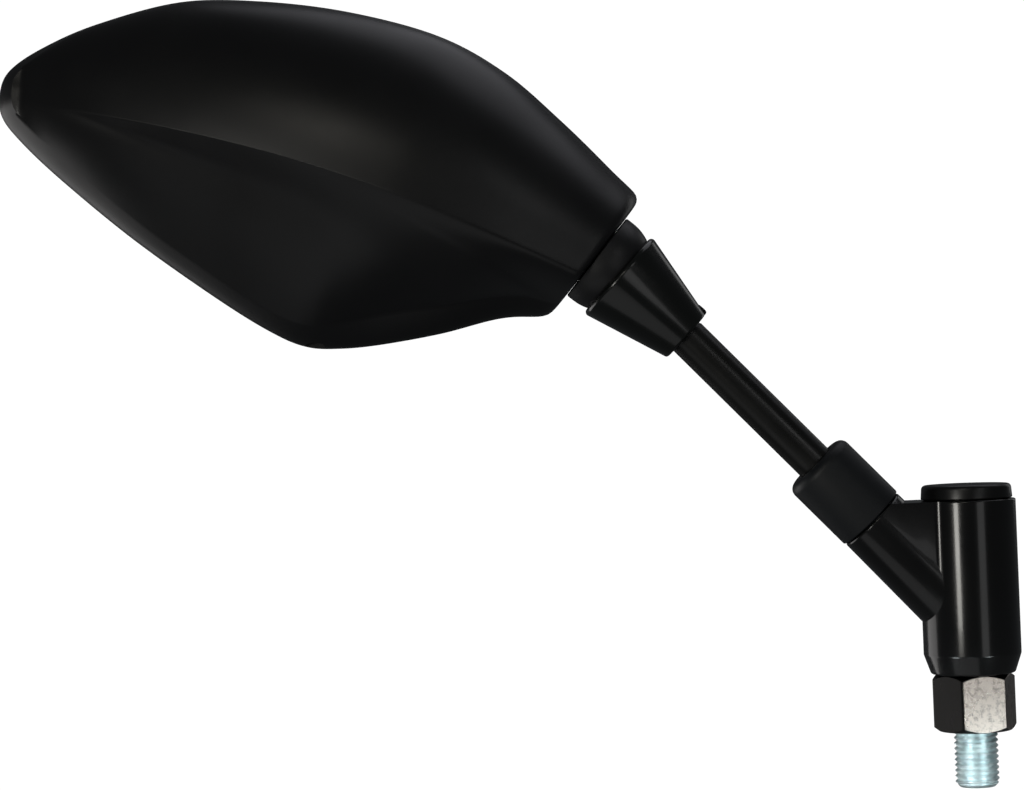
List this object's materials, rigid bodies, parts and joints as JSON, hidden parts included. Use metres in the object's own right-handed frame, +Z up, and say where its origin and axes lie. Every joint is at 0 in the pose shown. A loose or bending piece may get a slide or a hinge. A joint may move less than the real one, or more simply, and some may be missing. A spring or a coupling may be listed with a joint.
{
  "type": "motorcycle mirror",
  "caption": "Right-hand motorcycle mirror: sculpted head on a ball joint, straight stem leaning from a turning holder with a threaded stud and lock nut.",
  "frame": {"origin": "on the stud's axis where its full thread ends, 0.5 mm under the lock nut's lower face", "axes": "+Z up the stud into the pivot; -X towards the mirror head; -Y is the side the sculpted back faces, +Y the side the glass faces"},
  "size_m": [0.2313, 0.0322, 0.189],
  "materials": {
    "zinc_steel": "zinc plated, bluish, lightly oxidised",
    "black_steel": "black finish with worn bright speckles",
    "spring_steel": "plain spring steel",
    "gloss_black_paint": "gloss black paint over a die casting",
    "satin_black_paint": "satin black paint on a drawn steel rod",
    "soft_cap": "semi-gloss black soft plug",
    "boot_rubber": "matt bluish black rubber",
    "nylon": "natural nylon",
    "ring_steel": "blackened steel",
    "cast_alloy": "die-cast alloy, matt black coat",
    "housing_plastic": "fine-grained black moulding",
    "frame_plastic": "fine-grained black moulding",
    "carrier_plastic": "plain black moulding",
    "foam": "grey adhesive foam",
    "mirror_glass": "convex silvered glass",
    "screw_zinc": "zinc-plated steel"
  },
  "bodies": {
    "bolt": {"pivot_bolt": "zinc_steel", "lock_nut": "black_steel", "spring_washer": "spring_steel", "disc_springs": "spring_steel"},
    "arm": {"holder": "gloss_black_paint", "lower_bush": "nylon", "upper_bush": "nylon", "pivot_cap": "soft_cap", "stem": "satin_black_paint", "jam_nut": "screw_zinc", "stem_boot": "boot_rubber", "collar": "gloss_black_paint", "collar_screw": "black_steel"},
    "liner": {"ball_liner": "nylon"},
    "seat": {"rear_seat": "nylon"},
    "head": {"socket_ring": "ring_steel", "seat_spring": "spring_steel", "head_bracket": "cast_alloy", "bracket_screws": "screw_zinc", "housing": "housing_plastic", "carrier_plate": "carrier_plastic", "carrier_screws": "screw_zinc", "glass_pad": "foam", "mirror_glass": "mirror_glass", "glass_frame": "frame_plastic"}
  },
  "joints": [
    {"name": "holder_turn", "type": "hinge", "parent": "bolt", "child": "arm", "pos_m": [0, 0, 0.03], "axis": [0, 0, 1], "continuous": true},
    {"name": "head_tilt", "type": "hinge", "parent": "arm", "child": "liner", "pos_m": [-0.08128, 0, 0.11136], "axis": [0, 1, 0], "range_deg": [-8, 15.5]},
    {"name": "head_swing", "type": "hinge", "parent": "liner", "child": "seat", "pos_m": [-0.08128, 0, 0.11136], "axis": [0.6441, 0, 0.7649], "range_deg": [-12, 12]},
    {"name": "head_spin", "type": "hinge", "parent": "seat", "child": "head", "pos_m": [-0.08128, 0, 0.11136], "axis": [-0.7649, 0, 0.6441], "continuous": true}
  ]
}
